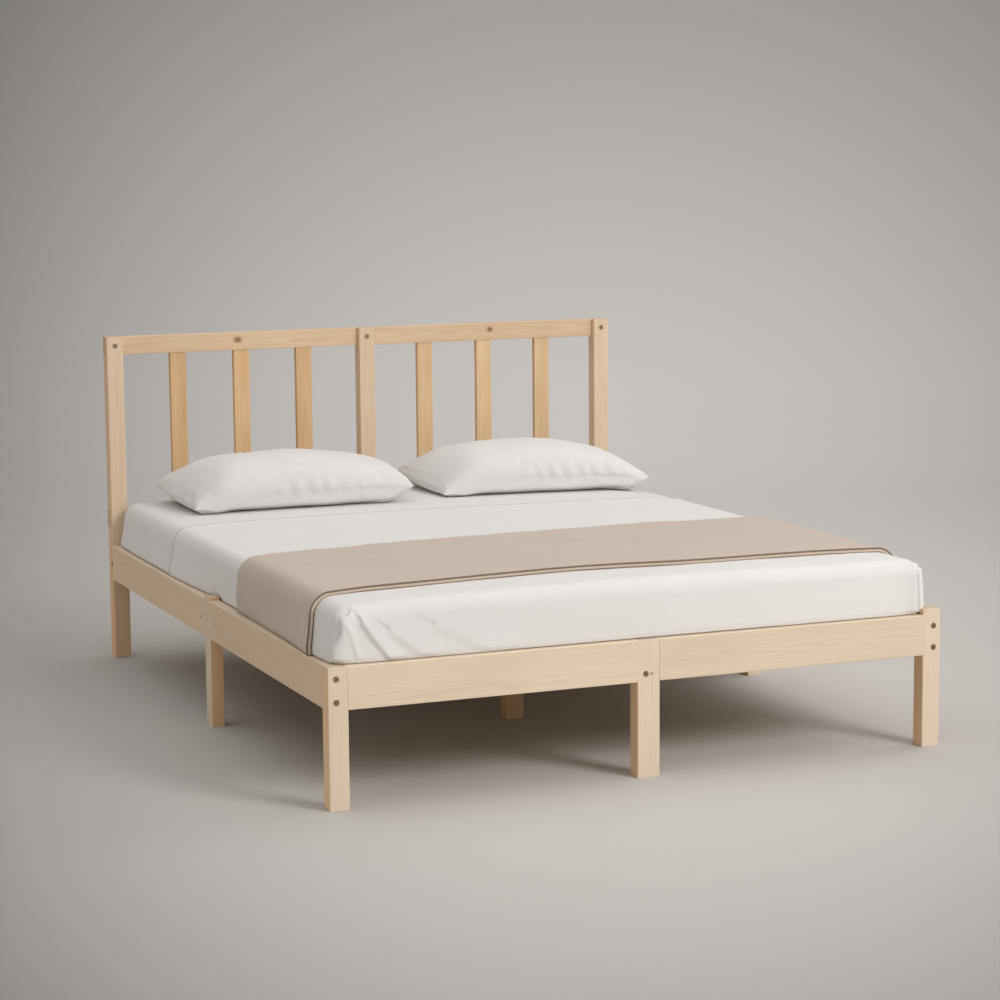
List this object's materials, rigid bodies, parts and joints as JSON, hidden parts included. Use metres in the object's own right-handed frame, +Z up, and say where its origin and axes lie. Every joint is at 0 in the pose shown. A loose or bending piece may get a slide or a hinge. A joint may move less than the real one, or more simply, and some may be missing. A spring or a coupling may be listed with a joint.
{
  "type": "double bed",
  "caption": "Pine double bed with a slatted headboard, split bolted rails, slat deck, mattress, sheets, throw blanket and pillows.",
  "frame": {"origin": "on the floor, under the middle of the bed's width and length", "axes": "+X to the right as seen from the foot, +Y from the foot to the headboard, +Z up"},
  "size_m": [1.66, 2.08, 0.98],
  "materials": {
    "pine": "satin",
    "sawn_pine": "matte",
    "beech": "matte",
    "bronzed_steel": "satin",
    "zinc_steel": "satin",
    "ticking": "matte",
    "white_cotton": "matte",
    "throw_cloth": "matte",
    "pillowcase": "matte"
  },
  "bodies": {
    "bed_frame": {"beam_leg_foot": "pine", "beam_leg_head": "pine", "bed_slat_01": "sawn_pine", "bed_slat_02": "sawn_pine", "bed_slat_03": "sawn_pine", "bed_slat_04": "sawn_pine", "bed_slat_05": "sawn_pine", "bed_slat_06": "sawn_pine", "bed_slat_07": "sawn_pine", "bed_slat_08": "sawn_pine", "bed_slat_09": "sawn_pine", "bed_slat_10": "sawn_pine", "bed_slat_11": "sawn_pine", "bed_slat_12": "sawn_pine", "center_beam_foot": "sawn_pine", "center_beam_head": "sawn_pine", "connector_bolts": "bronzed_steel", "connector_nuts": "zinc_steel", "foot_leg_center": "pine", "foot_leg_left": "pine", "foot_leg_right": "pine", "foot_rail_left": "pine", "foot_rail_right": "pine", "head_leg_center": "pine", "head_leg_left": "pine", "head_leg_right": "pine", "head_rail_left": "pine", "head_rail_right": "pine", "headboard_lower_rail_left": "pine", "headboard_lower_rail_right": "pine", "headboard_post_center": "pine", "headboard_post_left": "pine", "headboard_post_right": "pine", "headboard_slat_left_1": "pine", "headboard_slat_left_2": "pine", "headboard_slat_left_3": "pine", "headboard_slat_right_1": "pine", "headboard_slat_right_2": "pine", "headboard_slat_right_3": "pine", "headboard_top_rail_left": "pine", "headboard_top_rail_right": "pine", "side_leg_left": "pine", "side_leg_right": "pine", "side_rail_left_foot": "pine", "side_rail_left_head": "pine", "side_rail_right_foot": "pine", "side_rail_right_head": "pine", "slat_ledger_left_foot": "sawn_pine", "slat_ledger_left_head": "sawn_pine", "slat_ledger_right_foot": "sawn_pine", "slat_ledger_right_head": "sawn_pine", "wood_dowels": "beech", "wood_screws": "zinc_steel"},
    "bedding": {"mattress": "ticking", "fitted_sheet": "white_cotton", "top_sheet": "white_cotton", "throw_blanket": "throw_cloth"},
    "left_pillow": {"pillow_left": "pillowcase"},
    "right_pillow": {"pillow_right": "pillowcase"}
  },
  "joints": [
    {"name": "mattress_lift", "type": "slide", "parent": "bed_frame", "child": "bedding", "axis": [0, 0, 1], "range_m": [0, 0.7]},
    {"name": "pillow_left_lift", "type": "slide", "parent": "bedding", "child": "left_pillow", "axis": [0, 0, 1], "range_m": [0, 0.5]},
    {"name": "pillow_right_lift", "type": "slide", "parent": "bedding", "child": "right_pillow", "axis": [0, 0, 1], "range_m": [0, 0.5]}
  ]
}
